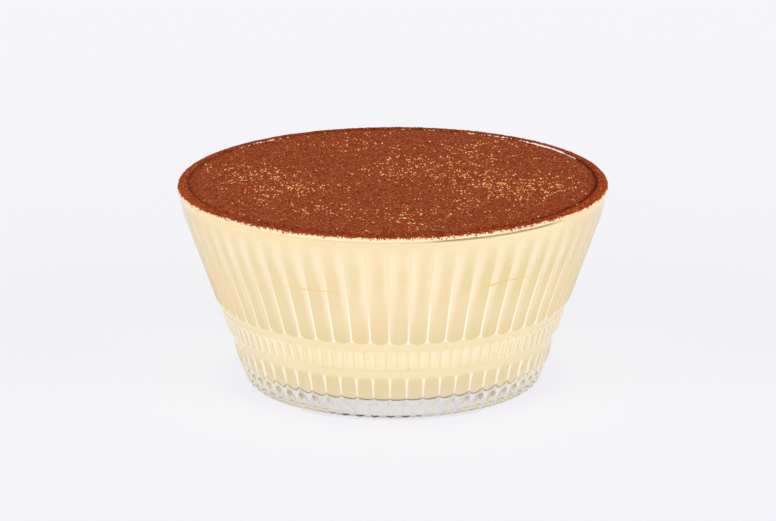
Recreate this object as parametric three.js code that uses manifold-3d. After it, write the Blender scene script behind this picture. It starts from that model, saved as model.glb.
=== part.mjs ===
// A tiramisu served in a pressed-glass bowl: clear fluted glass, filled to the rim with
// mascarpone cream and dusted with cocoa. Millimetres, +Z up, standing on z = 0, centred on
// the Z axis. Azimuth 0 faces -Y and grows towards +X.

import * as THREE from 'three';
import { mergeVertices } from 'three/addons/utils/BufferGeometryUtils.js';
import Module from 'manifold-3d';

const manifold = await Module();
manifold.setup();

// ---- Driving dimensions ----

const degree = Math.PI / 180;

// Glass rim, with a rounded edge
const rimRadius = 75; // widest circle of the bowl
const rimHeight = 69.2; // height of that circle
const crestRadius = 73.2; // where the rounded edge is highest
const crestHeight = 70.4;

// Outer wall over the ridges, from the foot to the rim: radius at each height
const wallCorners = [
  { height: 0, radius: 50.6 }, // foot
  { height: 1.5, radius: 51.8 },
  { height: 9, radius: 54.9 },
  { height: 16, radius: 56.5 }, // top of the lower flutes
  { height: 17.8, radius: 56.8 }, // small ledge under the beads
  { height: 19.4, radius: 57.6 },
  { height: 26, radius: 59.5 }, // top of the beads
  { height: 27.4, radius: 60.3 },
  { height: 31, radius: 62.6 }, // bevel up to the long flutes
  { height: 62, radius: 73.5 }, // top of the long flutes
  { height: rimHeight, radius: rimRadius },
];

// Flutes and beads round the wall
const fluteCount = 60;
const beadCount = 100;
const columnCount = 300; // a whole number of columns for each flute and each bead
const firstRidge = -1.15; // azimuth of one ridge, degrees
const beadShift = 1; // columns from a ridge back to the nearest gap between two beads
const fluteDepth = 0.9;
const shallowDepth = 0.35; // of the long flutes near their tops
const beadHeight = 0.8; // how proud a bead stands
const longFluteArch = 2.7; // how far the round lower end of a long flute bends down
const shortFluteArch = 2;
const shortFluteCrown = -1.2; // the short flutes end in a low arch at the top

// Inside of the bowl
const floorHeight = 6.8; // thickness of the clear base
const floorRadius = 40; // flat middle of the floor
const cornerHeight = 15; // where the rounded corner meets the wall
const cornerRadius = 51.6;
const cornerPull = 2.4; // how far the corner's control point stands in from the wall
const innerWaist = { height: 33, radius: 58.9 };
const innerLip = { height: 69.4, radius: 71.5 }; // start of the rounding at the crest
const innerShoulder = { height: 70.05, radius: 71.9 };
const innerCrest = 72.7; // inner edge of the narrow flat on the crest
const roundColumns = 60; // columns of the smooth, unfluted surfaces
const cornerSteps = 4;
const clearance = 5; // how far a cutting body runs past the glass
const overshoot = 0.01; // so that no cut ends in the very plane of a face

// Hollow under the foot
const recessRadius = 43;
const recessDepth = 0.7;
const recessEdge = 2; // width of its sloping edge

// Cream and cocoa
const gap = 0.3; // between two neighbouring pieces
const creamTop = 70.2;
const creamShoulder = { inset: 1.4, drop: 0.15 }; // the cream falls a little against the glass
const cocoaTop = 71.2; // over the rim
const cocoaLevel = 71.1; // over the cream
const grooveRadius = 71.1; // shallow groove between the cream and the rim
const grooveBottom = 70.5;
const grooveHalfWidth = 0.9;
const grooveSkin = 0.3; // thickness of the cocoa in the groove
const cocoaShoulder = { radius: 74.2, height: 70.95 };
const cocoaEdge = { radius: 74.9, height: 70.05, thickness: 0.3 }; // its end outside the rim

// ---- Helpers ----

function makeSolid(geometry) {
  const bare = geometry.clone();
  bare.deleteAttribute('normal');
  bare.deleteAttribute('uv');
  const merged = mergeVertices(bare, 1e-4);
  const corners = merged.index.array;
  const triangles = [];
  for (let i = 0; i < corners.length; i += 3) {
    const [a, b, c] = [corners[i], corners[i + 1], corners[i + 2]];
    if (a !== b && b !== c && c !== a) {
      triangles.push(a, b, c); // leaves out the flat triangles at the poles
    }
  }
  return new manifold.Manifold(new manifold.Mesh({
    numProp: 3,
    vertProperties: new Float32Array(merged.attributes.position.array),
    triVerts: new Uint32Array(triangles),
  }));
}

function makeGeometry(solid) {
  const mesh = solid.getMesh();
  const geometry = new THREE.BufferGeometry();
  geometry.setAttribute('position', new THREE.BufferAttribute(new Float32Array(mesh.vertProperties), 3));
  geometry.setIndex(new THREE.BufferAttribute(new Uint32Array(mesh.triVerts), 1));
  geometry.computeVertexNormals();
  return geometry;
}

// Turns an outline of [radius, height] points, from the axis below to the axis above, about Z
function turn(outline, columns, start) {
  const points = outline.map(([radius, height]) => new THREE.Vector2(radius, height));
  const geometry = new THREE.LatheGeometry(points, columns, start, 2 * Math.PI);
  return geometry.rotateX(Math.PI / 2);
}

// Radius of the outer wall over the ridges at a height
function wallRadius(height) {
  const top = wallCorners.findIndex((corner) => corner.height >= height);
  const upper = wallCorners[Math.max(top, 1)];
  const lower = wallCorners[Math.max(top, 1) - 1];
  const share = (height - lower.height) / (upper.height - lower.height);
  return THREE.MathUtils.lerp(lower.radius, upper.radius, share);
}

// ---- Bowl ----

// Rows of the outer wall from the foot up. arch is how much higher a row runs at the ridges
// than in the middle of a flute, flute how deep it lies there, bead how proud the beads stand.
const wallRows = [
  { height: 0, arch: 0, flute: 0, bead: 0 },
  { height: 1.7, arch: shortFluteArch, flute: 0, bead: 0 },
  { height: 2.7, arch: shortFluteArch, flute: fluteDepth, bead: 0 },
  { height: 13, arch: 0, flute: fluteDepth, bead: 0 },
  { height: 16.6, arch: shortFluteCrown, flute: 0, bead: 0 },
  { height: 18, arch: 0, flute: 0, bead: 0 },
  { height: 19.4, arch: 0, flute: 0, bead: beadHeight },
  { height: 25.4, arch: 0, flute: 0, bead: beadHeight },
  { height: 27.4, arch: 0, flute: 0, bead: 0 },
  { height: 29.6, arch: longFluteArch, flute: 0, bead: 0 },
  { height: 30.8, arch: longFluteArch, flute: fluteDepth, bead: 0 },
  { height: 60, arch: 0, flute: shallowDepth, bead: 0 },
  { height: 66, arch: 0, flute: 0, bead: 0 },
  { height: rimHeight, arch: 0, flute: 0, bead: 0 },
];

// Place across a flute at a column: -1 and 1 at the ridges, 0 in the middle
function acrossFlute(column) {
  const columnsEach = columnCount / fluteCount;
  return 2 * (column % columnsEach) / columnsEach - 1;
}

// How far a column stands out on a bead: 0 in the gaps, 1 on the bead
function onBead(column) {
  const columnsEach = columnCount / beadCount;
  return (column + beadShift) % columnsEach === 0 ? 0 : 1;
}

function wallPoint(row, column) {
  const across = acrossFlute(column);
  const height = row.height + row.arch * (1 - Math.sqrt(1 - across * across));
  const hollow = row.flute * (1 - across * across);
  const radius = wallRadius(height) - hollow + row.bead * onBead(column);
  return [radius, height];
}

function makeOuterBody() {
  const halfway = 45 * degree;
  const edgePoint = [
    crestRadius + (rimRadius - crestRadius) * Math.cos(halfway),
    rimHeight + (crestHeight - rimHeight) * Math.sin(halfway),
  ];
  const plainOutline = wallRows.map((row) => [wallRadius(row.height), row.height]);
  const outline = [
    [0, 0],
    ...plainOutline,
    edgePoint,
    [crestRadius, crestHeight],
    [0, crestHeight],
  ];
  const start = firstRidge * degree;
  const geometry = turn(outline, columnCount, start);
  const positions = geometry.attributes.position;
  for (let column = 0; column <= columnCount; column += 1) {
    const azimuth = start + 2 * Math.PI * (column % columnCount) / columnCount;
    wallRows.forEach((row, index) => {
      const [radius, height] = wallPoint(row, column);
      const vertex = column * outline.length + index + 1; // the outline starts on the axis
      positions.setXYZ(vertex, radius * Math.sin(azimuth), -radius * Math.cos(azimuth), height);
    });
  }
  return makeSolid(geometry);
}

// Inner face of the bowl from the middle of the floor to the lip, moved inward by a distance
function innerOutline(inset) {
  const cornerControl = new THREE.Vector2(cornerRadius - cornerPull, floorHeight);
  const corner = new THREE.QuadraticBezierCurve(
    new THREE.Vector2(floorRadius, floorHeight),
    cornerControl,
    new THREE.Vector2(cornerRadius, cornerHeight),
  );
  const cornerPoints = corner.getPoints(cornerSteps).map((point) => [point.x, point.y]);
  const outline = [
    ...cornerPoints,
    [innerWaist.radius, innerWaist.height],
    [innerLip.radius, innerLip.height],
  ];
  return outline.map(([radius, height], index) => {
    const onFloor = index === 0;
    const rise = onFloor ? inset : inset * Math.max(0, 1 - index / cornerSteps);
    return [onFloor ? radius : radius - inset, height + rise];
  });
}

function makeCavity() {
  const above = crestHeight + clearance;
  const outline = [
    [0, floorHeight],
    ...innerOutline(0),
    [innerShoulder.radius, innerShoulder.height],
    [innerCrest, crestHeight + overshoot],
    [innerCrest, above],
    [0, above],
  ];
  return makeSolid(turn(outline, roundColumns, 0));
}

function makeRecess() {
  const outline = [
    [0, -clearance],
    [recessRadius, -clearance],
    [recessRadius, -overshoot],
    [recessRadius - recessEdge, recessDepth],
    [0, recessDepth],
  ];
  return makeSolid(turn(outline, roundColumns, 0));
}

function makeBowl() {
  const glass = makeOuterBody().subtract(makeCavity()).subtract(makeRecess());
  const material = new THREE.MeshStandardMaterial({
    color: 0xe9ece8,
    roughness: 0.05,
    metalness: 0,
    transparent: true,
    opacity: 0.35,
    side: THREE.DoubleSide,
  });
  const bowl = new THREE.Mesh(makeGeometry(glass), material);
  bowl.name = 'bowl';
  return bowl;
}

// ---- Cream ----

function makeCream() {
  const edgeRadius = innerLip.radius - gap;
  const outline = [
    [0, floorHeight + gap],
    ...innerOutline(gap),
    [edgeRadius - creamShoulder.inset, creamTop - creamShoulder.drop],
    [edgeRadius - 2 * creamShoulder.inset, creamTop],
    [0, creamTop],
  ];
  const geometry = makeGeometry(makeSolid(turn(outline, roundColumns, 0)));
  const material = new THREE.MeshStandardMaterial({ color: 0xf3dcae, roughness: 0.6, metalness: 0 });
  const cream = new THREE.Mesh(geometry, material);
  cream.name = 'cream';
  return cream;
}

// ---- Cocoa ----

// One thin skin: over the cream, down into the groove, and over the rounded rim
function makeCocoa() {
  const innerBank = grooveRadius - grooveHalfWidth;
  const outerBank = grooveRadius + grooveHalfWidth;
  const outline = [
    [0, creamTop + gap],
    [innerBank - grooveSkin, creamTop + gap],
    [grooveRadius, grooveBottom - grooveSkin],
    [outerBank, crestHeight + gap],
    [crestRadius, crestHeight + gap],
    [cocoaShoulder.radius, crestHeight + gap / 3],
    [cocoaEdge.radius - gap / 3, cocoaEdge.height],
    [cocoaEdge.radius, cocoaEdge.height + cocoaEdge.thickness],
    [cocoaShoulder.radius, cocoaShoulder.height],
    [crestRadius, cocoaTop],
    [outerBank, cocoaTop],
    [grooveRadius, grooveBottom],
    [innerBank, cocoaLevel],
    [0, cocoaLevel],
  ];
  const geometry = makeGeometry(makeSolid(turn(outline, roundColumns, 0)));
  const material = new THREE.MeshStandardMaterial({ color: 0x8c4326, roughness: 0.95, metalness: 0 });
  const cocoa = new THREE.Mesh(geometry, material);
  cocoa.name = 'cocoa';
  return cocoa;
}

const tiramisu = new THREE.Group();
tiramisu.name = 'tiramisu';
tiramisu.add(makeBowl(), makeCream(), makeCocoa());

export default tiramisu;
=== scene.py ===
import math
import random

import bmesh
import bpy
from mathutils import Matrix, Quaternion, Vector, noise


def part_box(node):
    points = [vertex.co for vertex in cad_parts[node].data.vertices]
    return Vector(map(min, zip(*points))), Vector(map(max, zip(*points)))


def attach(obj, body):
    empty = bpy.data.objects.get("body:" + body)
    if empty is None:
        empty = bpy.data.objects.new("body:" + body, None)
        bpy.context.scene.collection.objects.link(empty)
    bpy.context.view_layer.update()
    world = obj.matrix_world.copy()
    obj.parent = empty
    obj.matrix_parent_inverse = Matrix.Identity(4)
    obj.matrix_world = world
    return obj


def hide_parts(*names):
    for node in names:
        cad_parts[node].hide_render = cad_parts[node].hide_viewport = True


# A tiramisu in a fluted glass bowl: clear pressed glass, pale mascarpone cream up to the rim
# and sifted cocoa on top. Sizes are in millimetres and go into the meshes times mm.
# Azimuth 0 is the front, towards -Y, and grows towards +X.

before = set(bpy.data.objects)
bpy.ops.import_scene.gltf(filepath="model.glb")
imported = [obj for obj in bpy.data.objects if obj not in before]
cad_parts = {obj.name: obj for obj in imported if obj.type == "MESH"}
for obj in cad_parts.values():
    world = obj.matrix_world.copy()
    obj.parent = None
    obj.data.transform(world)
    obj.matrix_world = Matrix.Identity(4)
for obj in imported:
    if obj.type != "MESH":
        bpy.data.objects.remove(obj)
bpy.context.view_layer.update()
mm = 0.001
rimGap = 0.2  # room for the cocoa that hangs over the rim
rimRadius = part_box("bowl")[1].x / mm - rimGap
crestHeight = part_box("bowl")[1].z / mm
print("frame loaded: rim radius", round(rimRadius, 2), "crest", round(crestHeight, 2))


# Shaders

class Signal:
    # an output socket that takes part in ordinary sums, each of which adds its Math node

    def __init__(self, finish, node, output):
        self.finish = finish
        self.node = node
        self.socket = node.outputs[output]

    def other(self, output):
        return Signal(self.finish, self.node, output)

    def sum(self, operation, first, second=0.0):
        inputs = {0: first, 1: second}
        return self.finish.add("ShaderNodeMath", {"operation": operation}, inputs)

    def __add__(self, other):
        return self.sum("ADD", self, other)

    def __radd__(self, other):
        return self.sum("ADD", other, self)

    def __sub__(self, other):
        return self.sum("SUBTRACT", self, other)

    def __rsub__(self, other):
        return self.sum("SUBTRACT", other, self)

    def __mul__(self, other):
        return self.sum("MULTIPLY", self, other)

    def __rmul__(self, other):
        return self.sum("MULTIPLY", other, self)

    def __truediv__(self, other):
        return self.sum("DIVIDE", self, other)

    def __pow__(self, other):
        return self.sum("POWER", self, other)

    def __abs__(self):
        return self.sum("ABSOLUTE", self)

    def atLeast(self, low):
        return self.sum("MAXIMUM", self, low)

    def atMost(self, high):
        return self.sum("MINIMUM", self, high)

    def root(self):
        return self.sum("SQRT", self)

    def fraction(self):
        return self.sum("FRACT", self)


class Finish:
    # a material, or the light all round, while it is being mixed

    def __init__(self, name, library="materials"):
        self.made = getattr(bpy.data, library).new(name)
        self.made.use_nodes = True
        self.tree = self.made.node_tree
        self.tree.nodes.clear()

    def add(self, kind, settings=None, inputs=None, output=0):
        node = self.tree.nodes.new(kind)
        for name, value in (settings or {}).items():
            setattr(node, name, value)
        for name, value in (inputs or {}).items():
            if isinstance(value, Signal):
                self.tree.links.new(value.socket, node.inputs[name])
            else:
                node.inputs[name].default_value = value
        return Signal(self, node, output)

    def place(self):
        return self.add("ShaderNodeTexCoord", output="Object")

    def split(self, place):
        # its x; y and z are the outputs Y and Z
        return self.add("ShaderNodeSeparateXYZ", {}, {0: place})

    def grain(self, place, size, detail=2.0, roughness=0.5):
        # cloudy noise, size in millimetres
        inputs = {"Vector": place, "Scale": 1 / (size * mm), "Detail": detail, "Roughness": roughness}
        return self.add("ShaderNodeTexNoise", {}, inputs)

    def cells(self, place, size):
        # three chances for each small cell: this is its Red, the others are Green and Blue
        inputs = {"Vector": place, "Scale": 1 / (size * mm), "Randomness": 1.0}
        color = self.add("ShaderNodeTexVoronoi", {"feature": "F1"}, inputs, "Color")
        return self.add("ShaderNodeSeparateColor", {}, {0: color})

    def bump(self, relief, strength, depth):
        inputs = {"Height": relief, "Strength": strength, "Distance": depth * mm}
        return self.add("ShaderNodeBump", {}, inputs, "Normal")

    def principled(self, inputs):
        return self.add("ShaderNodeBsdfPrincipled", {}, inputs)

    def rise(self, signal, low, high):
        # 0 below low, 1 above high, eased between
        settings = {"interpolation_type": "SMOOTHSTEP"}
        return self.add("ShaderNodeMapRange", settings, {"Value": signal, "From Min": low, "From Max": high})

    def fall(self, signal, low, high):
        # 1 below low, 0 above high
        return 1 - self.rise(signal, low, high)

    def near(self, signal, close, far):
        # 1 where the signal is within close of 0, 0 where it is further off than far
        return self.fall(abs(signal), close, far)

    def blend(self, share, first, second, how="MIX"):
        settings = {"data_type": "RGBA", "blend_type": how}
        return self.add("ShaderNodeMix", settings, {0: share, 6: first, 7: second}, output=2)

    def close(self, surface, output="ShaderNodeOutputMaterial"):
        end = self.tree.nodes.new(output)
        self.tree.links.new(surface.socket, end.inputs["Surface"])
        return self.made


def tone(red, green, blue):
    # a colour as seen on a screen, 0 to 255, made linear for a socket
    channels = [value / 255 for value in (red, green, blue)]
    return [c / 12.92 if c <= 0.04045 else ((c + 0.055) / 1.055) ** 2.4 for c in channels] + [1.0]


# Shaping

sectorCount = 20  # a whole number of columns of every turned piece fits in each


def polar(radius, azimuth, height):
    return Vector((radius * math.sin(azimuth), -radius * math.cos(azimuth), height)) * mm


def azimuthOf(point):
    return math.atan2(point.x, -point.y)


def between(first, second, share):
    return first + (second - first) * share


def ease(share):
    share = min(max(share, 0.0), 1.0)
    return share * share * (3 - 2 * share)


def ripple(x, y, size, layer):
    # smooth noise from -1 to 1, another one for each layer
    return noise.noise(Vector((x / size, y / size, layer)))


def turn(outline, columns, start=0.0, closed=False):
    # spins an outline of (radius, height) about the bowl's axis; each vertex keeps its row.
    # One sector is spun column by column and then copied round, which is much quicker.
    bm = bmesh.new()
    rowLayer = bm.verts.layers.int.new("row")
    chain = []
    for row, (radius, height) in enumerate(outline):
        vertex = bm.verts.new(polar(radius, start, height))
        vertex[rowLayer] = row
        chain.append(vertex)
    pairs = list(zip(chain, chain[1:]))
    if closed:
        pairs.append((chain[-1], chain[0]))
    edges = [bm.edges.new(pair) for pair in pairs]
    sector = 2 * math.pi / sectorCount
    about = {"cent": (0, 0, 0), "axis": (0, 0, 1)}
    bmesh.ops.spin(bm, geom=chain + edges, angle=sector, steps=columns // sectorCount, **about)
    whole = bm.verts[:] + bm.edges[:] + bm.faces[:]
    bmesh.ops.spin(bm, geom=whole, angle=2 * math.pi - sector, steps=sectorCount - 1,
                   use_duplicate=True, **about)
    bmesh.ops.remove_doubles(bm, verts=bm.verts, dist=1e-6)
    return bm, rowLayer


def putInScene(name, data):
    thing = bpy.data.objects.new(name, data)
    bpy.context.scene.collection.objects.link(thing)
    return thing


def makePiece(name, bm, finish):
    bmesh.ops.recalc_face_normals(bm, faces=bm.faces)
    mesh = bpy.data.meshes.new(name)
    bm.to_mesh(mesh)
    bm.free()
    mesh.shade_smooth()
    mesh.materials.append(finish)
    piece = putInScene(name, mesh)
    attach(piece, "root")
    return piece


# Bowl

bowlShape = {
    "columns": 1200,  # round the bowl: 20 to a flute, 12 to a bead
    "flutes": 60,
    "beads": 100,
    "firstRidge": math.radians(-1.15),
    "firstBeadGap": math.radians(-2.35),
    "fluteDepth": 0.9,
    "fluteDepthAbove": 0.35,  # of the long flutes near their tops
    "fluteRoundness": 1.4,
    # heights along the middle of a flute
    "shortTop": 12.4,
    "longLow": 29.6,
    "longDeepest": 30.9,
    "longHigh": 60,
    "beadHeight": 0.8,
    "beadLow": 18.8,
    "beadHigh": 27.1,
    "beadRingRadius": 59,
    "crestRadius": 73.2,
    "rimHeight": 69.2,  # of the widest circle
    "rimSteps": 5,
    "wallSoftness": 0.45,  # how far a corner of the wall is rounded, up and down
}

# height and radius of the outer wall over the ridges
wallCorners = [(0, 51.0), (1.5, 52.0), (9, 54.9), (16, 56.5), (17.8, 56.8), (19.4, 57.6),
               (26, 59.5), (27.4, 60.3), (31, 62.6), (62, 73.55), (66.5, 74.55), (69.2, 74.8)]

# bands of rows up the outer wall: height, how much higher the row runs at the ridges than in
# the middle of a flute, and how many rows up to the next band
wallBands = [(0, 0, 3), (1.7, 2, 5), (2.7, 2, 4), (13, 0, 5), (16.6, -1.2, 3), (18.7, 0, 6),
             (20.8, 0, 2), (25.1, 0, 6), (27.2, 0, 3), (29.6, 2.7, 6), (30.9, 2.7, 8), (60, 0, 4),
             (66, 0, 3), (69.2, 0, 0)]

# inner wall from the lip down to the flat of the floor: radius and height
lip = [(72.7, 70.4), (71.9, 70.05), (71.5, 69.4)]
innerWall = [(58.9, 33), (51.6, 15), (50.1, 12.2), (47.6, 9.6), (44.2, 7.7), (40, 6.8)]
floorRadius, floorHeight = innerWall[-1]

# shallow hollow under the foot
footHollow = [(0, 0.7), (41, 0.7), (43, 0)]


def wallRadiusAt(height):
    for (low, inner), (high, outer) in zip(wallCorners, wallCorners[1:]):
        if height <= high:
            return between(inner, outer, (height - low) / (high - low))
    return wallCorners[-1][1]


def wallRadius(height):
    soft = bowlShape["wallSoftness"]
    heights = [min(max(height + soft * step, 0), bowlShape["rimHeight"]) for step in (-1, -0.5, 0, 0.5, 1)]
    return sum(wallRadiusAt(h) for h in heights) / len(heights)


def fluteDepth(row):
    # depth in the middle of a flute for a row's own height
    shape = bowlShape
    deep = shape["fluteDepth"]
    shallow = shape["fluteDepthAbove"]
    if row < shape["longLow"]:
        scooped = ease((row + 1.0) / 1.8)
        return deep * scooped * (1 - ease((row - shape["shortTop"]) / 4.2))
    if row < shape["longHigh"]:
        scooped = ease((row - shape["longLow"]) / 2.4)
        higher = max(row - shape["longDeepest"], 0) / (shape["longHigh"] - shape["longDeepest"])
        return scooped * between(deep, shallow, higher)
    return shallow * (1 - ease((row - shape["longHigh"]) / 6))


def beadRise(azimuth, height):
    turns = (azimuth - bowlShape["firstBeadGap"]) / (2 * math.pi) * bowlShape["beads"]
    across = 2 * (turns % 1) - 1
    halfWidth = math.pi / bowlShape["beads"] * bowlShape["beadRingRadius"]
    low = bowlShape["beadLow"] + halfWidth
    high = bowlShape["beadHigh"] - halfWidth
    along = max(low - height, height - high, 0) / halfWidth
    return bowlShape["beadHeight"] * math.sqrt(max(1 - across ** 2 - along ** 2, 0))


def bowlRows():
    rows = []
    for (height, arch, count), (nextHeight, nextArch, _) in zip(wallBands, wallBands[1:]):
        for step in range(count):
            share = step / count
            rows.append((between(height, nextHeight, share), between(arch, nextArch, share)))
    return rows


def makeBowl(finish):
    shape = bowlShape
    rows = bowlRows()
    rim = shape["rimHeight"]
    wall = [(wallRadius(height), height) for height, arch in rows]
    edge = []
    for step in range(shape["rimSteps"] + 1):
        turned = math.radians(90 * step / shape["rimSteps"])
        edge.append((shape["crestRadius"] + (rimRadius - shape["crestRadius"]) * math.cos(turned),
                     rim + (crestHeight - rim) * math.sin(turned)))
    outline = footHollow + wall + edge + lip + innerWall + [(0, floorHeight)]
    bm, rowLayer = turn(outline, shape["columns"], shape["firstRidge"])
    for vertex in bm.verts:
        row = vertex[rowLayer] - len(footHollow)
        if not 0 <= row < len(rows):
            continue
        height, arch = rows[row]
        azimuth = azimuthOf(vertex.co)
        turns = (azimuth - shape["firstRidge"]) / (2 * math.pi) * shape["flutes"]
        across = 2 * ((turns + 1e-6) % 1) - 1
        hollow = fluteDepth(height) * (1 - across ** 2) ** shape["fluteRoundness"]
        raised = height + arch * (1 - math.sqrt(1 - across ** 2))
        radius = wallRadius(raised) - hollow + beadRise(azimuth, raised)
        vertex.co = polar(radius, azimuth, raised)
    bowl = makePiece("glass_bowl", bm, finish)
    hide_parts("bowl")
    return bowl


# Cream

creamShape = {
    "columns": 360,
    "reach": 0.2,  # into the glass, so that no air shows between them
    "edge": [(71.3, 70.2), (70.2, 70.4)],
}


def makeCream(finish):
    reach = creamShape["reach"]
    wall = [(radius + reach, height) for radius, height in reversed([lip[-1]] + innerWall[:-1])]
    bottom = [(0, floorHeight - reach), (floorRadius, floorHeight - reach)]
    top = creamShape["edge"] + [(0, creamShape["edge"][-1][1])]
    bm, _ = turn(bottom + wall + top, creamShape["columns"])
    cream = makePiece("mascarpone_cream", bm, finish)
    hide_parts("cream")
    return cream


# Cocoa

cocoaShape = {
    "cells": 308,  # across the field
    "level": 71.0,
    "fieldRadius": 71.1,
    "grooveRadius": 70.7,
    "grooveDepth": 0.55,
    "grooveWidth": 1.5,
    "grooveWander": 6,
    "lumps": 0.10,
    "lumpSize": 2.6,
    "grit": 0.09,
    "gritSize": 0.5,
    "underside": 70.15,
    "ringColumns": 2400,
    # where the cocoa ends on the rounded rim, in degrees up from its widest circle
    "edgeFront": 37,
    "edgeSides": 9,
    "edgeTurns": (48, 34),  # azimuth where front turns into side, and over how many degrees
    "ragged": 40,  # how far its teeth reach, in degrees
    "toothSize": 0.55,
    "fineToothSize": 0.25,
    "driftSize": 1.7,
    "topTurn": 78,  # where the rounded part of the ring starts, and how far it is spun down
    "topSpan": 40,
    "innerRelief": 0.5,  # share of the field's relief in the ring's first row, and in the others
    "ringRelief": 1.2,
}


def cocoaRelief(x, y):
    size = cocoaShape["lumpSize"]
    lumps = noise.fractal(Vector((x / size, y / size, 0.3)), 1.0, 2.1, 3)
    grit = ripple(x, y, cocoaShape["gritSize"], 4.0)
    return cocoaShape["lumps"] * lumps + cocoaShape["grit"] * grit


def edgeTurn(azimuth):
    # where the cocoa ends on the rounded rim, in degrees up from its widest circle
    start, over = cocoaShape["edgeTurns"]
    aside = ease((abs(math.degrees(azimuth)) - start) / over)
    return between(cocoaShape["edgeFront"], cocoaShape["edgeSides"], aside)


def grooveDrop(x, y):
    shape = cocoaShape
    wander = ripple(x, y, shape["grooveWander"], 3.0)
    away = abs(math.hypot(x, y) - shape["grooveRadius"] + 0.25 * wander) / shape["grooveWidth"]
    return shape["grooveDepth"] * (0.8 + 0.5 * wander) * (1 - ease(away))


def makeCocoaField(finish):
    shape = cocoaShape
    bm = bmesh.new()
    bmesh.ops.create_grid(bm, x_segments=shape["cells"], y_segments=shape["cells"], size=1.0)
    border = [edge for edge in bm.edges if edge.is_boundary]
    skirt = bmesh.ops.extrude_edge_only(bm, edges=border)["geom"]
    under = [item for item in skirt if isinstance(item, bmesh.types.BMVert)]
    underEdges = [item for item in skirt if isinstance(item, bmesh.types.BMEdge) and item.is_boundary]
    below = set(under)
    for vertex in bm.verts:
        u, v = vertex.co.x, vertex.co.y
        x = u * math.sqrt(1 - v * v / 2) * shape["fieldRadius"]
        y = v * math.sqrt(1 - u * u / 2) * shape["fieldRadius"]
        height = shape["level"] - grooveDrop(x, y) + cocoaRelief(x, y)
        vertex.co = Vector((x, y, shape["underside"] if vertex in below else height)) * mm
    bmesh.ops.contextual_create(bm, geom=underEdges)
    field = makePiece("cocoa_field", bm, finish)
    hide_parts("cocoa")
    return field


def overRim(turned, thickness):
    # a point above the rounded rim: turned in degrees, 90 on the crest and 0 on the widest circle
    crest = bowlShape["crestRadius"]
    rim = bowlShape["rimHeight"]
    angle = math.radians(turned)
    return (crest + (rimRadius - crest + thickness) * math.cos(angle),
            rim + (crestHeight - rim + thickness) * math.sin(angle))


def makeCocoaRing(finish):
    # over the rounded rim, from the groove to a ragged edge outside
    shape = cocoaShape
    inner = [(70.9, 70.45), (71.25, 70.62), (71.6, 70.85), (72.0, 71.02), (72.5, 71.1), (72.9, 71.08)]
    outer = [(0.0, 0.48), (0.25, 0.36), (0.5, 0.28), (0.7, 0.2), (0.86, 0.15), (1.0, 0.06)]
    inside = [(74.0, 69.9), (73.2, 70.3), (72.0, 70.0), (70.9, 70.0)]
    over = [overRim(shape["topTurn"] - shape["topSpan"] * share, thickness) for share, thickness in outer]
    outline = inner + over + inside
    bm, rowLayer = turn(outline, shape["ringColumns"], closed=True)
    for vertex in bm.verts:
        row = vertex[rowLayer]
        azimuth = azimuthOf(vertex.co)
        x, y, height = vertex.co / mm
        radius = math.hypot(x, y)
        if row < len(inner):
            height += cocoaRelief(x, y) * shape["innerRelief" if row == 0 else "ringRelief"]
        elif row < len(inner) + len(outer):
            share, thickness = outer[row - len(inner)]
            teeth = ripple(x, y, shape["toothSize"], 9.0)
            teeth += 0.5 * ripple(x, y, shape["fineToothSize"], 1.0)
            drift = ripple(x, y, shape["driftSize"], 2.0)
            lowest = edgeTurn(azimuth) - shape["ragged"] * (teeth + 0.5 * drift)
            turned = between(shape["topTurn"], lowest, share)
            radius, height = overRim(turned, thickness + cocoaRelief(x, y) * shape["ringRelief"])
        vertex.co = polar(radius, azimuth, height)
    ring = makePiece("cocoa_rim", bm, finish)
    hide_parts("cocoa")
    return ring


# Smears of cream that the cocoa leaves bare

smearShape = {
    "columns": 1800,
    "under": 66,  # degrees up from the widest circle, hidden by the cocoa
    "low": 6,
    "thickness": 0.13,
    "sunk": -0.12,  # its back, inside the glass rim
    "edgeSunk": -0.02,
    # azimuth, spread and weight of each strip inside the rim
    "lipPatches": [(129, 10, 0.95), (147, 4, 0.4), (-139, 4, 0.4), (168, 3, 0.25)],
    "lipNoise": [(1.0, 0.8, 7.0), (0.5, 3, 1.0), (0.6, 0.4, 2.0)],  # weight, size, layer
    "lipLevel": 0.55,
    "lipBare": (-0.8, 0.18),  # least and most that shows
    "liftFrom": (8, 8),  # azimuth where the outer smear is narrower, and over how many degrees
    "liftTo": (58, 10),
    "lift": 10,
    "driftSize": 1.6,
    "driftTurn": 5,  # what the drift does to its lower edge, in degrees, and to its thickness
    "driftThickness": 0.8,
}


def makeRimSmear(finish):
    # outside, just below the ragged edge of the cocoa
    shape = smearShape
    shares = [0, 0.35, 0.65, 0.85, 0.96, 1.0]
    over = [overRim(between(shape["under"], shape["low"], share), shape["thickness"]) for share in shares]
    back = [overRim(between(shape["under"], shape["low"], share), shape["sunk"]) for share in (0.9, 0.0)]
    bm, rowLayer = turn(over + back, shape["columns"], closed=True)
    for vertex in bm.verts:
        row = vertex[rowLayer]
        if row >= len(shares):
            continue
        azimuth = azimuthOf(vertex.co)
        x, y, height = vertex.co / mm
        degrees = math.degrees(azimuth)
        drift = ripple(x, y, shape["driftSize"], 5.0)
        (start, rising), (end, falling) = shape["liftFrom"], shape["liftTo"]
        lift = shape["lift"] * ease((degrees - start) / rising) * ease((end - degrees) / falling)
        turned = between(shape["under"], shape["low"] + lift + shape["driftTurn"] * drift, shares[row])
        thickness = shape["thickness"] * (1 + shape["driftThickness"] * drift)
        if row == len(shares) - 1:
            thickness = shape["edgeSunk"]
        radius, height = overRim(turned, thickness)
        vertex.co = polar(radius, azimuth, height)
    return makePiece("rim_smear", bm, finish)


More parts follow.
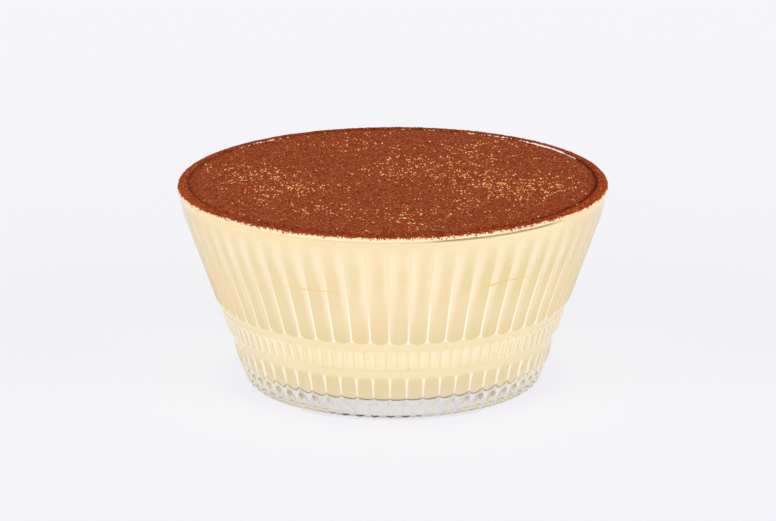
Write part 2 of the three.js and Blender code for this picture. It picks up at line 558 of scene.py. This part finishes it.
def makeLipSmear(finish):
    # inside, on the far slope of the groove, where the cocoa has slipped off
    shape = smearShape
    outline = [(69.9, 70.2), (70.2, 70.6), (70.7, 70.75), (71.15, 70.85), (71.0, 70.2)]
    bm, rowLayer = turn(outline, shape["columns"], closed=True)
    for vertex in bm.verts:
        row = vertex[rowLayer]
        azimuth = azimuthOf(vertex.co)
        x, y, height = vertex.co / mm
        degrees = math.degrees(azimuth)
        bare = max(weight * (1 - abs(degrees - middle) / spread / 1.4)
                   for middle, spread, weight in shape["lipPatches"])
        patchy = sum(weight * ripple(x, y, size, layer) for weight, size, layer in shape["lipNoise"])
        if row < len(outline) - 1:
            least, most = shape["lipBare"]
            height += min(max(bare + patchy - shape["lipLevel"], least), most) * 0.5
        vertex.co = polar(math.hypot(x, y), azimuth, height)
    return makePiece("lip_smear", bm, finish)


# Bright grains on the cocoa

grainShape = {
    "seed": 11,
    "scattered": 190,
    "fieldRadius": 70,
    "limit": 69.6,  # none lies further out
    # x, y, their spreads and how many
    "patches": [(-60, 19, 5, 5, 26), (-47, 5, 8, 6, 105), (-38, -13, 9, 7, 130), (-4, 9, 6, 6, 45),
                (8, 15, 8, 9, 80), (23, 29, 12, 9, 100), (27, 5, 10, 7, 100), (33, -9, 10, 7, 105),
                (51, -9, 8, 9, 115), (40, -23, 10, 6, 60), (6, -49, 9, 8, 75), (-26, -36, 12, 8, 60),
                (27, -36, 14, 8, 60), (-12, 48, 10, 6, 40), (34, 46, 8, 6, 30)],
    "chains": (1, 1, 1, 2, 2, 3),  # grains in a chain
    "step": (0.7, 1.6),
    "swerve": 0.6,  # of a chain from step to step
    "size": (0.17, 0.36),
    "stretch": ((0.8, 1.6), (0.7, 1.1), (0.5, 0.9)),
    "lift": 0.25,  # share of its size by which a grain's middle stands above the cocoa
    "pale": 0.05,  # share of pale grains
}


def grainPlaces():
    # short chains of grains in each patch, and single ones all over
    random.seed(grainShape["seed"])
    places = []
    for x, y, spreadX, spreadY, count in grainShape["patches"]:
        left = count
        while left > 0:
            grainX, grainY = random.gauss(x, spreadX), random.gauss(y, spreadY)
            heading = random.uniform(0, 2 * math.pi)
            for _ in range(min(left, random.choice(grainShape["chains"]))):
                places.append((grainX, grainY))
                step = random.uniform(*grainShape["step"])
                heading += random.gauss(0, grainShape["swerve"])
                grainX += step * math.cos(heading)
                grainY += step * math.sin(heading)
                left -= 1
    for _ in range(grainShape["scattered"]):
        radius = grainShape["fieldRadius"] * math.sqrt(random.random())
        azimuth = 2 * math.pi * random.random()
        places.append((radius * math.sin(azimuth), radius * math.cos(azimuth)))
    return [(x, y) for x, y in places if math.hypot(x, y) < grainShape["limit"]]


def makeGrains(name, finish, places):
    bm = bmesh.new()
    for x, y in places:
        size = random.uniform(*grainShape["size"])
        stretch = Vector([random.uniform(*limits) for limits in grainShape["stretch"]])
        ground = cocoaShape["level"] - grooveDrop(x, y) + cocoaRelief(x, y)
        height = ground + grainShape["lift"] * size
        turned = Quaternion((0, 0, 1), random.uniform(0, math.pi))
        placed = Matrix.LocRotScale(Vector((x, y, height)) * mm, turned, stretch)
        bmesh.ops.create_icosphere(bm, subdivisions=1, radius=size * mm, matrix=placed)
    return makePiece(name, bm, finish)


# Finishes

black = (0.0, 0.0, 0.0, 1.0)

glassLook = {
    "clear": (1.0, 1.0, 1.0, 1.0),
    "clearLow": (0.68, 0.80, 1.0, 1.0),
    # painted light and shade: how bright each part of the wall shows the cream behind it, standing in for
    # what the flutes' refraction and reflection do
    "topBand": (0.90, 0.84, 0.62, 1.0),
    "lowBand": (0.83, 0.73, 0.53, 1.0),
    "coreLow": (0.63, 0.507, 0.262, 1.0),  # painted shade in the middle of a long flute, from its lower end up
    "coreMid": (0.70, 0.57, 0.38, 1.0),
    "coreTop": (0.80, 0.71, 0.57, 1.0),
    "coreAside": (0.65, 0.525, 0.265, 1.0),
    "lightLow": (0.75, 0.62, 0.39, 1.0),  # painted light on its sides, from the lower end up
    "lightMid": (0.89, 0.785, 0.73, 1.0),
    # painted reflection and a painted darker outline where the wall turns away at the sides
    "farSide": (0.75, 0.54, 0.26, 1.0),
    "outline": (0.48, 0.42, 0.30, 1.0),
    # painted highlights on the ridges, and a painted amber line beside them higher up
    "ridgeLight": (1.0, 0.97, 0.88, 1.0),
    "ridgeAmber": (0.84, 0.62, 0.28, 1.0),
    # painted shade along the lower end of a long flute
    "bottomEdge": (0.62, 0.48, 0.27, 1.0),
    # beads: painted light streaks, a painted darker outline and a painted reflection at the sides
    "bead": (0.90, 0.79, 0.60, 1.0),
    "beadLight": (0.96, 0.94, 0.90, 1.0),
    "beadEdge": (0.80, 0.62, 0.35, 1.0),
    "beadAside": (0.50, 0.48, 0.45, 1.0),
    # short flutes: painted shade, darkest in the middle near their tops
    "shortPanel": (0.75, 0.65, 0.465, 1.0),
    "shortCore": (0.66, 0.54, 0.345, 1.0),
    # painted shade along the cream's lower edge
    "creamLine": (0.10, 0.08, 0.05, 1.0),
    # the clear foot: painted refraction, with painted dark outlines and brown patches
    "facet": (0.74, 0.62, 0.38, 1.0),
    "facetEdge": (0.27, 0.18, 0.03, 1.0),
    "paintedPatch": (0.66, 0.46, 0.14, 1.0),
    # painted dark dashes: reflected shade under the foot
    "footDash": (0.03, 0.015, 0.02, 1.0),
    "rimShade": (0.15, 0.06, 0.045, 1.0),
    "gleam": (0.02, 0.09, 0.19, 1.0),  # painted glow, added where the ridges and beads catch the light
    "footGleam": (0.115, 0.098, 0.07, 1.0),  # painted glow added to the clear foot, from its top down
    "footGleamLow": (0.04, 0.065, 0.10, 1.0),
    "roughness": 0.02,
    "footRoughness": 0.2,  # what the foot adds to it
    "through": (0.97, 0.98, 0.97, 1.0),  # for lamps and light that bounces
}

# heights and widths of the painted parts; a pair says from and to where an edge is soft
glassPlaces = {
    "longFlutes": (29.5, 29.8),
    "plainBand": (64.5, 67.5),
    "longArch": 2.7,  # how much higher a flute starts on its ridges than in its middle
    "beadHalfWidth": 1.85,
    "beadLine": 20.6,
    "beadShadow": 19.2,
    "shortFlutes": (15.4, 16.9),
    "shortArch": 1.6,
    "creamEdge": (7.2, 7.5),
    "creamLine": 7.35,
    "ridgeSpacing": 7.0,  # round the wall
    # half width of the arches of the foot, the height they spring from, how far they rise above it
    "vault": (2.1, 3.4, 3.1),
    # height, half height and half width of the painted brown patches in an arch
    "paintedPatchPlaces": [(5.4, 1.3, 0.8), (2.5, 0.4, 1.0)],
    "rings": [1.9, 0.7],  # thin lines round the foot
    "dash": 0.8,
    "rimShade": 69.0,
}


def paintFlutes(glass, height, middle, away, lean, outward, uneven, color):
    # long flutes, in painted light and shade: a painted dark middle that narrows upwards, painted lighter
    # sides, a painted reflection at the far sides and a painted highlight line on each ridge
    look, where = glassLook, glassPlaces
    side = abs(lean)
    row = height - (1 - (1 - middle ** 2).root()) * where["longArch"]
    panel = glass.rise(row, *where["longFlutes"]) * glass.fall(height, *where["plainBand"])
    darkest = outward * (glass.rise(side, 0.4, 0.8) * 0.15 + 0.4) + uneven * 0.5
    darkest = darkest + glass.fall(side, 0, 0.18) * 0.25
    half = 0.69 - glass.rise(height, 26, 54) * 0.64
    wider = glass.rise(side, 0.15, 0.4) * glass.rise(height, 36, 46) * glass.fall(height, 52, 60)
    half = half + wider * 0.2
    core = glass.fall(abs(middle - darkest), half, half + 0.95)
    core = core * (1 + uneven * 1.2)
    dark = glass.blend(glass.rise(height, 29, 39), look["coreLow"], look["coreMid"])
    aside = glass.rise(side, 0.12, 0.5) * glass.rise(height - outward * 3, 34, 48)
    dark = glass.blend(aside * (0.6 + outward * 0.4), dark, look["coreAside"])
    dark = glass.blend(glass.rise(height, 55, 68), dark, look["coreTop"])
    tint = glass.blend(glass.rise(height, 28, 43), look["lightLow"], look["lightMid"])
    tint = glass.blend(glass.rise(height, 60, 67) * 0.75, tint, look["topBand"])
    lowAside = glass.rise(side, 0.45, 0.7) * glass.fall(height, 46, 60)
    tint = glass.blend(lowAside * 0.6, tint, look["lightLow"])
    tint = glass.blend(core, tint, dark)
    # painted reflection at the far sides, and a painted darker outline where the wall turns away
    tint = glass.blend(glass.rise(side, 0.78, 0.92) * 0.75, tint, look["farSide"])
    tint = glass.blend(glass.rise(side, 0.92, 0.98) * 0.6, tint, look["outline"])
    # painted shade along the flute's lower end
    edge = glass.rise(row, 29.4, 29.6) * glass.fall(row, 29.7, 30.3) * glass.near(middle, 0.7, 0.95)
    color = glass.blend(panel, color, tint)
    color = glass.blend(edge * 0.8, color, look["bottomEdge"])

    # painted highlight line on each ridge, and a painted amber line beside it near the top
    width = 0.26 + glass.fall(height, 29.8, 31.6) * 0.35
    light = glass.near(away, width * 0.7, width * 1.5)
    high = glass.rise(height - glass.rise(side, 0.04, 0.3) * 16, 30, 46)
    light = light * glass.rise(height, 29.5, 30.4) * (1 - glass.rise(side, 0.78, 0.92) * 0.7) * (1 - high)
    light = light * (1 - glass.rise(height, 38, 50) * 0.35) * (1 - glass.rise(0 - lean, 0.5, 0.66) * 0.45)
    amber = glass.near(away + lean * 1.6, 0.1, 0.32)
    amber = amber * glass.rise(height, 40, 54) * glass.fall(height, 63, 66.5) * glass.fall(side, 0.15, 0.5)
    color = glass.blend(light, color, look["ridgeLight"])
    color = glass.blend(amber * 0.7, color, look["ridgeAmber"])
    return color, light


def paintBeads(glass, height, azimuth, lean, outward, color):
    # each bead, in painted light and shade: two painted light streaks that wander across it round the bowl,
    # a painted darker outline, painted shade at its lower end and a painted reflection where it turns away
    # at the sides
    look, where = glassLook, glassPlaces
    side = abs(lean)
    halfWidth = where["beadHalfWidth"]
    turns = (azimuth - bowlShape["firstBeadGap"]) * (bowlShape["beads"] / (2 * math.pi))
    across = (turns.fraction() * 2 - 1) * halfWidth
    center = (bowlShape["beadLow"] + bowlShape["beadHigh"]) / 2
    straight = (bowlShape["beadHigh"] - bowlShape["beadLow"]) / 2 - halfWidth
    along = (abs(height - center) - straight).atLeast(0.0)
    away = (across ** 2 + along ** 2).root()
    bead = glass.fall(away, 1.55, 1.75)
    upper = glass.rise(height, 21, 24) * glass.fall(height, 25.2, 26.4) * 0.75 + 0.25
    upper = upper * (glass.rise(side, 0, 0.2) * 0.6 + 0.4)
    brightest = 1.2 - glass.rise(lean, -0.02, 0.12) * 1.9 + glass.rise(lean, 0.38, 0.72) * 1.5
    streak = glass.near(across - brightest, 0.3, 1.1) * upper
    second = glass.near(across - outward * 1.25, 0.05, 0.35) * upper
    second = second * glass.rise(side, 0.08, 0.25) * glass.fall(side, 0.5, 0.6)
    light = (streak * 0.75 + second * 0.6) * glass.fall(away, 1.35, 1.6)
    tint = glass.blend(light, look["bead"], look["beadLight"])
    tint = glass.blend(glass.near(height - where["beadLine"], 0.08, 0.25) * 0.4, tint, look["beadEdge"])
    rimmed = glass.rise(side, 0.5, 0.7) * glass.rise(away, 0.8, 1.2)
    tint = glass.blend(rimmed * 0.5, tint, look["beadLight"])
    aside = glass.near(across + 0.45, 0.1, 0.5) * glass.fall(lean, -0.45, -0.15)
    tint = glass.blend(aside * glass.rise(height, 21.2, 22) * 0.6, tint, look["beadEdge"])
    dark = glass.rise(side, 0.4, 0.6) * 0.3 + glass.rise(side, 0.66, 0.86) * 0.7
    tint = glass.blend(dark * glass.fall(away, 0.2, 0.9), tint, look["beadAside"])
    color = glass.blend(bead, color, tint)
    below = glass.near(height - where["beadShadow"], 0.3, 0.9) * (1 - streak)
    color = glass.blend(below * 0.5, color, look["beadEdge"])
    edge = glass.rise(away, 1.4, 1.6) * glass.fall(away, 1.68, 1.95)
    color = glass.blend(edge * (0.75 - glass.rise(height, 19.6, 21) * 0.25), color, look["beadEdge"])
    return color, light * bead * 0.25 + rimmed * bead * (1 - edge) * 0.4


def paintClearFoot(glass, height, middle, away, side, crooked):
    # an arch below each ridge in painted refraction and shade: the foot bluer low down, the arch's painted
    # outline browner towards the sides, painted brown patches in it and painted thin rings round it; also
    # how much of the foot these marks take up
    look, where = glassLook, glassPlaces
    aside = glass.rise(side, 0.3, 0.65)
    foot = glass.blend(glass.rise(height, 2.2, 7.0) + aside * 0.6, look["clearLow"], look["clear"])
    halfWidth, spring, rising = where["vault"]
    above = (height - spring).atLeast(0.0)
    vault = ((away / halfWidth) ** 2 + (above / rising) ** 2).root()
    inside = glass.fall(vault, 0.8, 1.0)
    foot = glass.blend(inside * aside * 0.12, foot, look["facet"])
    marked = glass.near(vault - 0.95 + crooked, 0.05, 0.18) * (0.1 + aside * 0.4)
    marked = marked * glass.rise(height, 1.6, 3.2)
    foot = glass.blend(marked, foot, look["facetEdge"])
    for center, tall, wide in where["paintedPatchPlaces"]:
        paintedPatch = ((away / wide) ** 2 + ((height - center) / tall) ** 2).root() + crooked
        brown = glass.fall(paintedPatch, 0.6, 0.9) * aside * 0.8
        foot = glass.blend(brown, foot, look["paintedPatch"])
        outline = glass.near(paintedPatch - 0.95, 0.05, 0.3) * glass.rise(height, center - 0.5, center + 0.4)
        outline = outline * aside * 0.85
        foot = glass.blend(outline, foot, look["facetEdge"])
        marked = marked + brown + outline
    for middleHeight in where["rings"]:
        ring = glass.near(height - middleHeight - middle ** 2 * 0.5 + crooked, 0.1, 0.4)
        ring = ring * glass.rise(side, 0.25, 0.5) * 0.6
        foot = glass.blend(ring, foot, look["facetEdge"])
        marked = marked + ring
    return foot, marked.atMost(1.0)


def paintFoot(glass, height, middle, away, lean, uneven, color):
    # painted light and shade low on the wall: short flutes with a painted dark middle and painted ridge
    # highlights, a painted dark line under the cream, and the clear foot's painted arches and dashes
    look, where = glassLook, glassPlaces
    side = abs(lean)
    arch = 1 - (1 - middle ** 2).root()
    panel = glass.fall(height + arch * where["shortArch"], *where["shortFlutes"])
    core = glass.rise(height, 9, 12) * glass.fall(height, 14.5, 17) * glass.near(middle, 0.6, 1.1)
    tint = glass.blend(core, look["shortPanel"], look["shortCore"])
    color = glass.blend(panel, color, tint)
    width = 0.28 + glass.rise(height, 12.5, 16) * 0.4
    light = glass.near(away, width * 0.7, width * 1.4)
    light = light * glass.fall(height, 14.5, 16.5) * glass.fall(side, 0.80, 0.92)
    color = glass.blend(light, color, look["ridgeLight"])

    # where the cream shows, its lower edge is painted scalloped, more so at the sides, with a painted dark
    # line along it
    scalloped = height - arch * 0.9 - middle ** 2 * side * 1.7
    under = glass.fall(scalloped, *where["creamEdge"])
    foot, marked = paintClearFoot(glass, height, middle, away, side, uneven * 0.8)
    color = glass.blend(under, color, foot)
    line = glass.near(scalloped - where["creamLine"], 0.12, 0.36) * (1 - glass.rise(side, 0.7, 0.9) * 0.7)
    color = glass.blend(line, color, look["creamLine"])

    # painted dark dashes with a pale painted border low down in front, standing in for reflected shade under
    # the foot, and painted bright lenses at the sides
    fromDash = abs(height - where["dash"]) + away ** 2 * 0.07
    inFront = glass.near(lean + 0.115, 0.26, 0.34)
    pale = glass.near(fromDash - 0.75, 0.1, 0.3) * inFront
    dash = glass.fall(fromDash, 0.34, 0.55) * inFront
    lens = panel * (1 - under) * glass.rise(side, 0.72, 0.82)
    lens = lens * glass.near(away - lean * 0.6, 0.2, 0.7)
    color = glass.blend(lens * 0.6, color, look["clear"])
    color = glass.blend(dash, color, look["footDash"])
    return color, light * (1 - under) + lens * 0.8 + pale * 0.4, under * (1 - marked * 0.7)


def paintRim(glass, height, azimuth, color):
    # a thin shade where the rim is widest, stronger for a stretch at the right
    stretch = glass.rise(azimuth, math.radians(5), math.radians(14))
    stretch = stretch * glass.fall(azimuth, math.radians(42), math.radians(56))
    reach = 0.14 + stretch * 0.26
    shade = glass.near(height - glassPlaces["rimShade"] - stretch * 0.2, reach * 0.5, reach * 1.6)
    return glass.blend(shade * (0.15 + stretch * 0.75), color, glassLook["rimShade"])


glassMarks = {
    "hairlines": [(49.5, -35, -15), (51, 23, 43), (63.5, -42, -36)],  # height, from and to azimuth
    "bubbles": [(33.5, 57.4), (38, 57.1), (43.5, 57.7), (48.5, 58.9), (57.5, 60.9)],  # azimuth, height
    "stains": [(5.4, 19.9), (-35.6, 26.5), (-33.4, 21.5)],
    "orange": (0.80, 0.43, 0.06, 1.0),
}


def paintMarks(glass, place, height, azimuth, color):
    # hairlines and stains in the cream right behind the glass, and small bubbles painted with a darker ring
    # and a painted glint
    marks = glassMarks
    degrees = azimuth * (180 / math.pi)
    waver = (glass.grain(place, 7) - 0.5) * 3.6
    for middle, start, end in marks["hairlines"]:
        along = glass.rise(degrees, start, start + 5) * glass.fall(degrees, end - 5, end)
        line = glass.near(height - middle + waver, 0.14, 0.5) * along
        color = glass.blend(line * glass.rise(waver, -0.9, 0.3) * 0.95, color, marks["orange"])
    for turned, middle in marks["stains"]:
        away = ((degrees - turned) ** 2 + (height - middle) ** 2).root()
        color = glass.blend(glass.fall(away, 0.2, 0.9) * 0.5, color, marks["orange"])
    bright = []
    for turned, middle in marks["bubbles"]:
        away = (((degrees - turned) * 1.2) ** 2 + (height - middle) ** 2).root()
        color = glass.blend(glass.near(away - 1.0, 0.1, 0.5) * 0.4, color, glassLook["farSide"])
        bright.append(glass.fall(away, 0.3, 0.8))
    return color, sum(bright) * 0.7


def glassFinish():
    look = glassLook
    glass = Finish("clear pressed glass")
    place = glass.place()
    x = glass.split(place)
    y = x.other("Y")
    height = x.other("Z") / mm
    radius = (x ** 2 + y ** 2).root()
    behind = glass.rise(y / radius, -0.06, 0.06)
    lean = x / radius * (1 - behind * 2)  # 0 in front, 1 round to the right, from behind the same again
    azimuth = x.sum("ARCTAN2", x, 0 - y)
    outward = glass.rise(lean, -0.45, 0.45) * 2 - 1
    above = (height - 31).atLeast(0.0)
    # a flute is seen through its own slope: its picture moves inwards at the sides, in degrees
    moved = lean * 1.05 + lean ** 3 * 0.95 - lean ** 2 * 0.2 + 0.08 + (0.2 - outward) * above * 0.008
    turns = (azimuth - bowlShape["firstRidge"]) * (bowlShape["flutes"] / (2 * math.pi))
    turns = turns + moved * (bowlShape["flutes"] / 360)
    middle = turns.fraction() * 2 - 1  # -1 and 1 on the ridges beside a flute
    away = ((turns + 0.5).fraction() - 0.5) * glassPlaces["ridgeSpacing"]  # to the right of a ridge

    # painted shade: the wall is darker low down and lighter towards the rim
    color = glass.blend(glass.rise(height, 40, 60), look["lowBand"], look["topBand"])
    uneven = glass.grain(place, 16) - 0.5  # the painted shading differs a little from flute to flute
    color, onRidges = paintFlutes(glass, height, middle, away, lean, outward, uneven, color)
    color, onBeads = paintBeads(glass, height, azimuth, lean, outward, color)
    color, onFoot, under = paintFoot(glass, height, middle, away, lean, uneven, color)
    color = paintRim(glass, height, azimuth, color)
    color, onBubbles = paintMarks(glass, place, height, azimuth, color)
    side = abs(lean)
    # painted glow: the clear foot where the cream is behind it, and the painted highlights of ridges, beads,
    # lenses and bubbles
    higher = glass.rise(height, 2, 6.5) + glass.rise(side, 0.3, 0.65) * 0.6
    gleam = glass.blend(higher, look["footGleamLow"], look["footGleam"])
    paintedGlow = under * glass.rise(height, 1.0, 1.8) * (1 - glass.rise(side, 0.15, 0.6) * 0.66)
    gleam = glass.blend(paintedGlow, black, gleam)
    gleam = glass.blend(onRidges + onBeads + onFoot + onBubbles, gleam, look["gleam"])

    surface = glass.principled({
        "Base Color": color, "Roughness": look["roughness"] + under * look["footRoughness"],
        "IOR": 1.5, "Transmission Weight": 1.0,
        "Normal": glass.bump(glass.grain(place, 9, 1.0), 0.05, 1.0),
        "Emission Color": gleam, "Emission Strength": 1.0})
    # lamps and light that bounces reach the cream straight through the glass
    through = glass.add("ShaderNodeBsdfTransparent", {}, {"Color": look["through"]})
    path = glass.add("ShaderNodeLightPath")
    for ray in ("Is Shadow Ray", "Is Diffuse Ray"):
        surface = glass.add("ShaderNodeMixShader", {}, {0: path.other(ray), 1: surface, 2: through})
    return glass.close(surface)


# two shades that mingle, and how strongly the cream is painted to glow near the rim and low down, standing
# in for light the glass rim and foot lead to the cream behind them
creamLook = {
    "mascarpone cream": (tone(247, 230, 197), tone(250, 235, 204), 0.35),
    "thin cream": (tone(250, 230, 192), tone(244, 220, 178), 0.0),
    "dry cream": (tone(255, 246, 230), tone(252, 236, 212), 0.15),
}


def creamFinish(name):
    first, second, glow = creamLook[name]
    cream = Finish(name)
    place = cream.place()
    height = cream.split(place).other("Z") / mm
    # painted glow: the cream glows near the rim and low down
    paintedGlow = cream.rise(height, 66, 69) * glow + cream.fall(height, 8, 15) * (0.3 * glow)
    surface = cream.principled({
        "Base Color": cream.blend(cream.grain(place, 14, 3.0), first, second),
        "Roughness": 0.6, "Specular IOR Level": 0.0,
        "Emission Color": cream.blend(paintedGlow, black, second), "Emission Strength": 1.0})
    return cream.close(surface)


cocoaLook = {
    "dark": tone(101, 29, 8),
    "light": tone(190, 87, 40),
    "grainDark": tone(52, 12, 3),
    "grainLight": tone(240, 156, 100),
    # these three multiply the other colours: painted shade in the groove, and the rim's tint with painted
    # light at the far sides
    "groove": (0.50, 0.23, 0.07, 1.0),
    "rim": (0.85, 0.635, 0.44, 1.0),
    "rimAside": (1.13, 0.97, 0.58, 1.0),
    "thin": tone(214, 124, 66),
    "bare": tone(250, 232, 198),  # cream between the last grains on the rim
    "grainSize": 0.42,
    "softSize": 1.1,
}


def cocoaFinish():
    look = cocoaLook
    cocoa = Finish("sifted cocoa")
    place = cocoa.place()
    x = cocoa.split(place)
    y = x.other("Y")
    height = x.other("Z") / mm
    radius = (x ** 2 + y ** 2).root() / mm
    right = x / mm / radius
    lean = abs(right)
    chance = cocoa.cells(place, look["grainSize"])
    soft = cocoa.grain(place, look["softSize"])
    color = cocoa.blend(chance * 0.75 + cocoa.rise(soft, 0.3, 0.7) * 0.25, look["dark"], look["light"])
    color = cocoa.blend(cocoa.rise(chance.other("Green"), 0.90, 0.97) * 0.7, color, look["grainLight"])
    color = cocoa.blend(cocoa.rise(chance.other("Blue"), 0.88, 0.97) * 0.7, color, look["grainDark"])
    onRim = cocoa.rise(radius, 71.3, 72.2)
    clouds = cocoa.grain(place, 7)
    grooveShadow = cocoa.rise(radius, 66, 70.8) ** 2 * 0.35 + cocoa.rise(radius, 69.9, 70.8) * 0.45
    grooveShadow = grooveShadow * cocoa.fall(radius, 70.9, 72.3) * (clouds * 1.4 + 0.3)
    grooveShadow = grooveShadow * (1 - cocoa.rise(0 - right, 0.3, 0.9) * 0.35)
    # painted shade in the groove, darkest at the right
    darkestAtRight = cocoa.near(radius - 71.0 + clouds * 0.6, 0.1, 0.7) * cocoa.rise(right, 0.2, 0.8)
    grooveShadow = grooveShadow + darkestAtRight * 0.55
    # painted light: the cocoa over the rim is darker and redder, less so at the far sides
    rim = cocoa.blend(cocoa.rise(lean, 0.6, 1.0), look["rim"], look["rimAside"])
    color = cocoa.blend(onRim * 0.8, color, rim, "MULTIPLY")
    color = cocoa.blend(grooveShadow, color, look["groove"], "MULTIPLY")
    # towards its ragged edge the cocoa thins out, lower down the rim at the sides
    thinBelow = 70.8 - cocoa.rise(lean, 0.7, 0.98) * 0.7
    thin = cocoa.rise(thinBelow - height, 0, 0.6) * cocoa.rise(radius, 73.4, 73.9)
    color = cocoa.blend(thin * 0.45, color, look["thin"])
    color = cocoa.blend(cocoa.rise(chance.other("Green") + thin * 0.45, 1.0, 1.05), color, look["bare"])
    surface = cocoa.principled({
        "Base Color": color, "Roughness": 1.0, "Specular IOR Level": 0.1,
        "Normal": cocoa.bump(soft, 0.6, 0.12)})
    return cocoa.close(surface)


sugarLook = {
    "pale sugar grains": (tone(255, 238, 190), tone(240, 226, 186)),
    "golden sugar grains": (tone(255, 212, 120), tone(234, 160, 82)),
    "shadeSize": 1.5,
}


def grainFinish(name):
    # sugar grains: each takes a shade of its own from where it lies
    first, second = sugarLook[name]
    sugar = Finish(name)
    shade = sugar.cells(sugar.place(), sugarLook["shadeSize"])
    surface = sugar.principled({
        "Base Color": sugar.blend(shade, first, second), "Roughness": 0.35, "Specular IOR Level": 0.5})
    return sugar.close(surface)


# Stage

stageShape = {
    "floorSize": 8.0,
    "floorDrop": 0.05 * mm,  # the floor lies a hair under the foot
    "floorColor": (0.20, 0.20, 0.21, 1.0),
    "floorGlow": 0.755,
    "farGlow": 0.785,  # the floor grows brighter towards the back
    "glowTint": 0.972,  # red and green against blue
    "shade": (0.64, 0.635, 0.72, 1.0),
    "shadeReach": (48, 70),
    "footLine": (0.48, 0.40, 0.31, 1.0),
    "footLineRadius": 52.1,
    "wallLight": 0.75,
    "ceilingLight": 0.42,
    "sideLight": 30.0,
    "frontLight": 24.0,
    "backLight": 5.0,
    "lampsAimAt": (0, 0, 0.04),
}

# azimuth and elevation in degrees, distance, size, power
softboxes = {
    "left softbox": (-57, 23, 3.2, (1.2, 1.6), "sideLight"),
    "right softbox": (57, 23, 3.2, (1.2, 1.6), "sideLight"),
    "front softbox": (0, 24, 3.2, (2.4, 1.4), "frontLight"),
    "back softbox": (180, 62, 2.4, (2.4, 1.6), "backLight"),
}


def floorFinish():
    shape = stageShape
    paper = Finish("pale floor")
    across = paper.split(paper.place())
    away = across.other("Y")
    tint = shape["glowTint"]
    first, second = [(tint * level, tint * level, level, 1.0)
                     for level in (shape["floorGlow"], shape["farGlow"])]
    glow = paper.blend(paper.rise(away, 0.0, 0.6), first, second)
    # the foot's soft shade, and the thin line of light that it throws in front of it
    radius = (across ** 2 + away ** 2).root() / mm
    glow = paper.blend(paper.fall(radius, *shape["shadeReach"]) * 0.62, glow, shape["shade"])
    inFront = paper.fall(away / mm / radius, -0.9, -0.7)
    line = paper.near(radius - shape["footLineRadius"], 0.15, 0.5) * inFront
    glow = paper.blend(line * 0.7, glow, shape["footLine"])
    surface = paper.principled({
        "Base Color": shape["floorColor"], "Roughness": 1.0, "Specular IOR Level": 0.0,
        "Emission Color": glow, "Emission Strength": 1.0})
    return paper.close(surface)


def makeFloor():
    bm = bmesh.new()
    bmesh.ops.create_grid(bm, x_segments=1, y_segments=1, size=stageShape["floorSize"] / 2)
    bmesh.ops.translate(bm, verts=bm.verts, vec=(0, 0, -stageShape["floorDrop"]))
    mesh = bpy.data.meshes.new("floor")
    bm.to_mesh(mesh)
    bm.free()
    mesh.materials.append(floorFinish())
    floor = putInScene("floor", mesh)


def makeLight(name, where, size, power):
    light = bpy.data.lights.new(name, "AREA")
    light.shape = "RECTANGLE"
    light.size, light.size_y = size
    light.energy = power
    lamp = putInScene(name, light)
    lamp.visible_transmission = False  # no lamp shines straight through the foot
    lamp.location = where
    aim = Vector(stageShape["lampsAimAt"]) - lamp.location
    lamp.rotation_euler = aim.to_track_quat("-Z", "Y").to_euler()


def makeStage():
    makeFloor()
    studio = Finish("studio", "worlds")
    upward = studio.split(studio.add("ShaderNodeTexCoord")).other("Z")
    levels = (stageShape["wallLight"], stageShape["ceilingLight"])
    walls, ceiling = [[level, level, level, 1.0] for level in levels]
    color = studio.blend(studio.rise(upward, 0.3, 0.6), walls, ceiling)
    light = studio.add("ShaderNodeBackground", {}, {"Color": color, "Strength": 1.0})
    bpy.context.scene.world = studio.close(light, "ShaderNodeOutputWorld")
    for name, (azimuth, elevation, distance, size, power) in softboxes.items():
        raised = math.radians(elevation)
        out, up = distance * math.cos(raised), distance * math.sin(raised)
        makeLight(name, polar(out, math.radians(azimuth), up) / mm, size, stageShape[power])


cameraShape = {
    "distance": 1.5,
    "elevation": math.radians(16.35),
    "circles": 0.035,  # height of the point that it circles
    "lens": 198.44,
    "aim": (-0.00175, 0, 0.04147),
    "roll": math.radians(-0.2),
    "nearest": 0.05,
}


def makeCamera():
    shape = cameraShape
    data = bpy.data.cameras.new("camera")
    data.lens = shape["lens"]
    data.clip_start = shape["nearest"]
    camera = putInScene("camera", data)
    out = shape["distance"] * math.cos(shape["elevation"])
    up = shape["distance"] * math.sin(shape["elevation"])
    camera.location = (0, -out, shape["circles"] + up)
    aimed = (Vector(shape["aim"]) - camera.location).to_track_quat("-Z", "Y")
    camera.rotation_euler = (aimed @ Quaternion((0, 0, 1), shape["roll"])).to_euler()
    bpy.context.scene.camera = camera


makeBowl(glassFinish())
print("bowl pressed")
makeCream(creamFinish("mascarpone cream"))
print("cream filled in")
cocoaColor = cocoaFinish()
makeCocoaField(cocoaColor)
makeCocoaRing(cocoaColor)
print("cocoa sifted")
makeRimSmear(creamFinish("thin cream"))
makeLipSmear(creamFinish("dry cream"))
places = grainPlaces()
pale = int(len(places) * grainShape["pale"])
random.shuffle(places)
makeGrains("pale_grains", grainFinish("pale sugar grains"), places[:pale])
makeGrains("golden_grains", grainFinish("golden sugar grains"), places[pale:])
print("smears and grains added")
makeStage()
makeCamera()
bpy.context.scene.view_settings.view_transform = "Standard"
